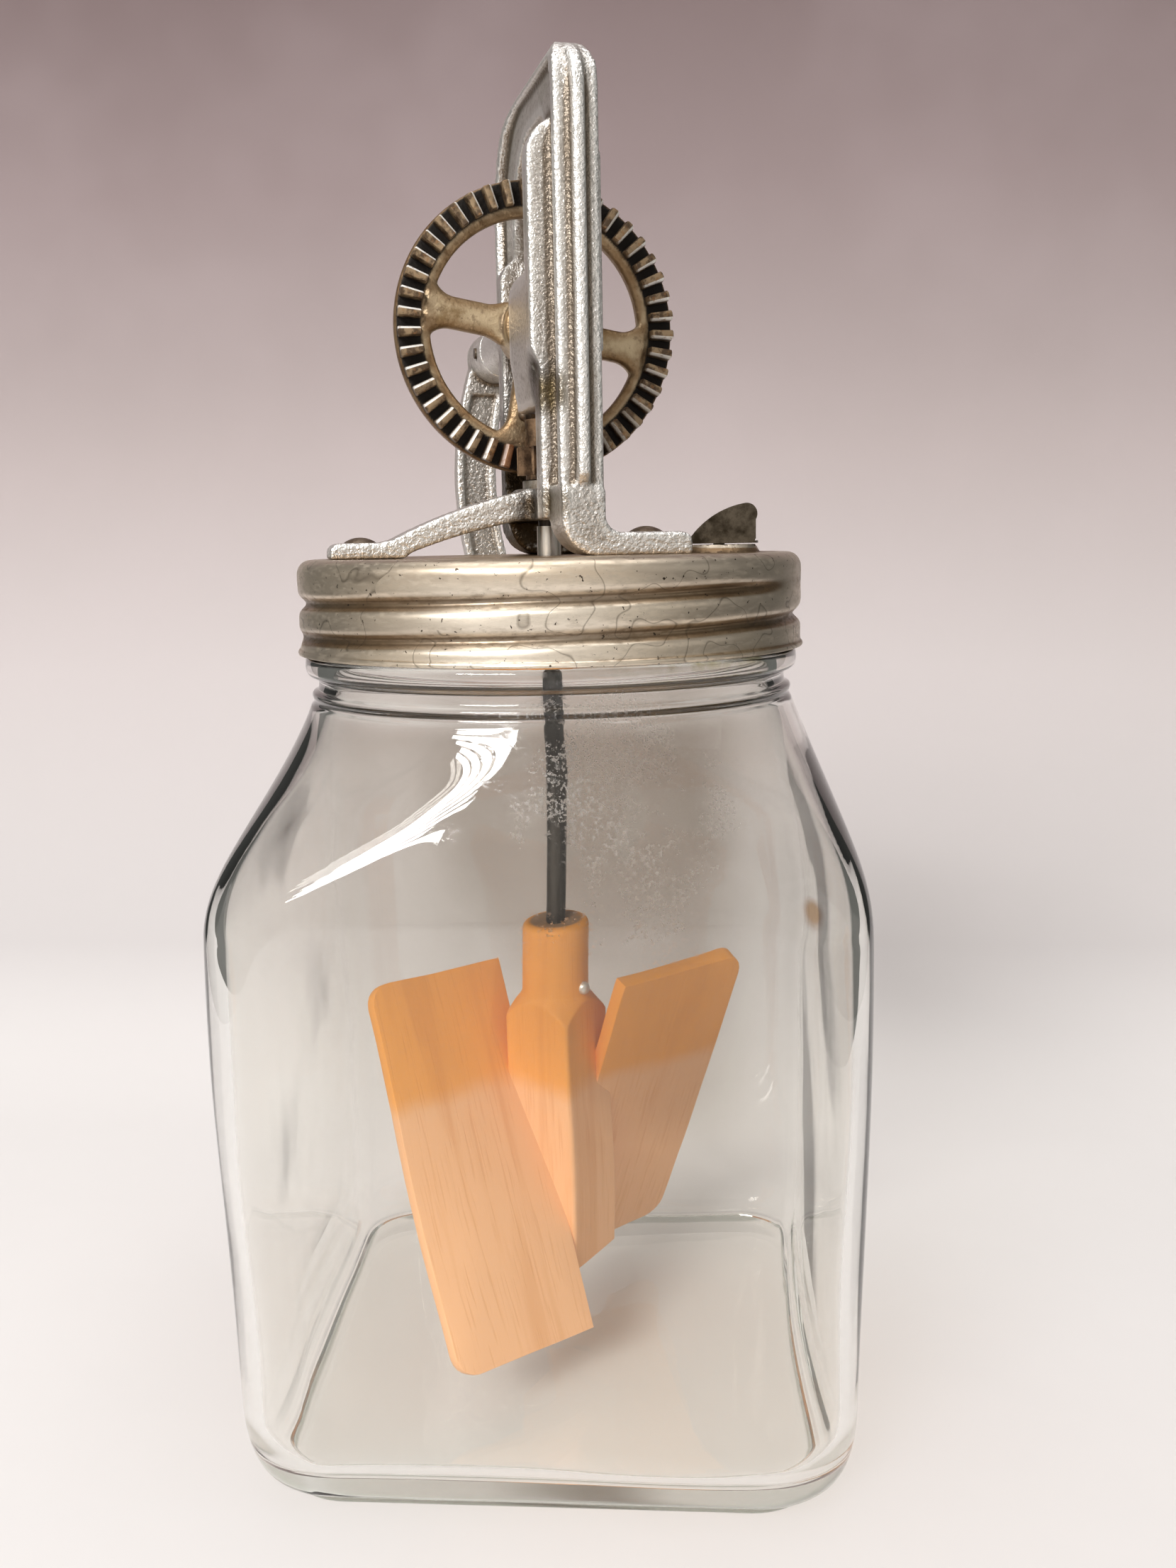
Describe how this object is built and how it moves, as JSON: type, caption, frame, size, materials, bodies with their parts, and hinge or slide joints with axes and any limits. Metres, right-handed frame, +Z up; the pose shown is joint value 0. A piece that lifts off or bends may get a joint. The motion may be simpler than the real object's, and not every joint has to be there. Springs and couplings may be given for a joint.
{
  "type": "butter churn",
  "caption": "Square glass jar with a screw lid, a cast gear frame and crank on top, and a slanted-board wooden dasher on a shaft inside.",
  "frame": {"origin": "centre of the jar's resting face", "axes": "+Z up along the jar and the dasher shaft; the jar's flat sides face +X, -X, +Y and -Y, and -Y is the front; the gear frame is turned 18.5 degrees about Z on the lid"},
  "size_m": [0.1556, 0.1807, 0.343],
  "materials": {
    "jar": "clear pressed glass",
    "screw_lid": "dull tinned sheet",
    "lid_gasket": "matte",
    "shaft_tube": "satin",
    "frame": "bright silver paint",
    "frame_rivets": "dull",
    "thrust_washer": "dull",
    "vent_rivet": "dull",
    "drive_wheel": "worn paint",
    "wheel_axle": "satin",
    "wheel_pin": "dull",
    "axle_washer": "dull",
    "spoke_screw": "dull",
    "crank_arm": "silver paint",
    "crank_pin": "dull",
    "knob_spindle": "satin",
    "knob_washer": "dull",
    "crank_knob": "varnished",
    "pinion": "brown and worn",
    "pinion_pin": "dull",
    "dasher_shaft": "dull",
    "dasher_hub": "bare",
    "dasher_blade_left": "bare",
    "dasher_blade_right": "bare",
    "dasher_pin": "satin",
    "vent_cover": "dull dark sheet"
  },
  "bodies": {
    "jar_body": {"jar": "jar"},
    "lid_body": {"screw_lid": "screw_lid", "lid_gasket": "lid_gasket", "shaft_tube": "shaft_tube", "frame": "frame", "frame_rivets": "frame_rivets", "thrust_washer": "thrust_washer", "vent_rivet": "vent_rivet"},
    "wheel_body": {"drive_wheel": "drive_wheel", "wheel_axle": "wheel_axle", "wheel_pin": "wheel_pin", "axle_washer": "axle_washer", "spoke_screw": "spoke_screw", "crank_arm": "crank_arm", "crank_pin": "crank_pin", "knob_spindle": "knob_spindle", "knob_washer": "knob_washer"},
    "knob_body": {"crank_knob": "crank_knob"},
    "dasher_body": {"pinion": "pinion", "pinion_pin": "pinion_pin", "dasher_shaft": "dasher_shaft", "dasher_hub": "dasher_hub", "dasher_blade_left": "dasher_blade_left", "dasher_blade_right": "dasher_blade_right", "dasher_pin": "dasher_pin"},
    "vent_body": {"vent_cover": "vent_cover"}
  },
  "joints": [
    {"name": "lid_lift", "type": "slide", "parent": "jar_body", "child": "lid_body", "axis": [0, 0, 1], "range_m": [0, 0.24]},
    {"name": "wheel_turn", "type": "hinge", "parent": "lid_body", "child": "wheel_body", "pos_m": [0, 0, 0.285], "axis": [0.3173, -0.9483, 0], "continuous": true},
    {"name": "knob_spin", "type": "hinge", "parent": "wheel_body", "child": "knob_body", "pos_m": [-0.02856, 0.08535, 0.213], "axis": [0.3173, -0.9483, 0], "continuous": true},
    {"name": "dasher_spin", "type": "hinge", "parent": "lid_body", "child": "dasher_body", "pos_m": [0, 0, 0.2], "axis": [0, 0, 1], "continuous": true},
    {"name": "vent_swing", "type": "hinge", "parent": "lid_body", "child": "vent_body", "pos_m": [0.04428, 0.00444, 0.2295], "axis": [0, 0, 1], "range_deg": [0, 90]}
  ],
  "couplings": [
    {"joint": "dasher_spin", "follows": "wheel_turn", "ratio": -5}
  ]
}
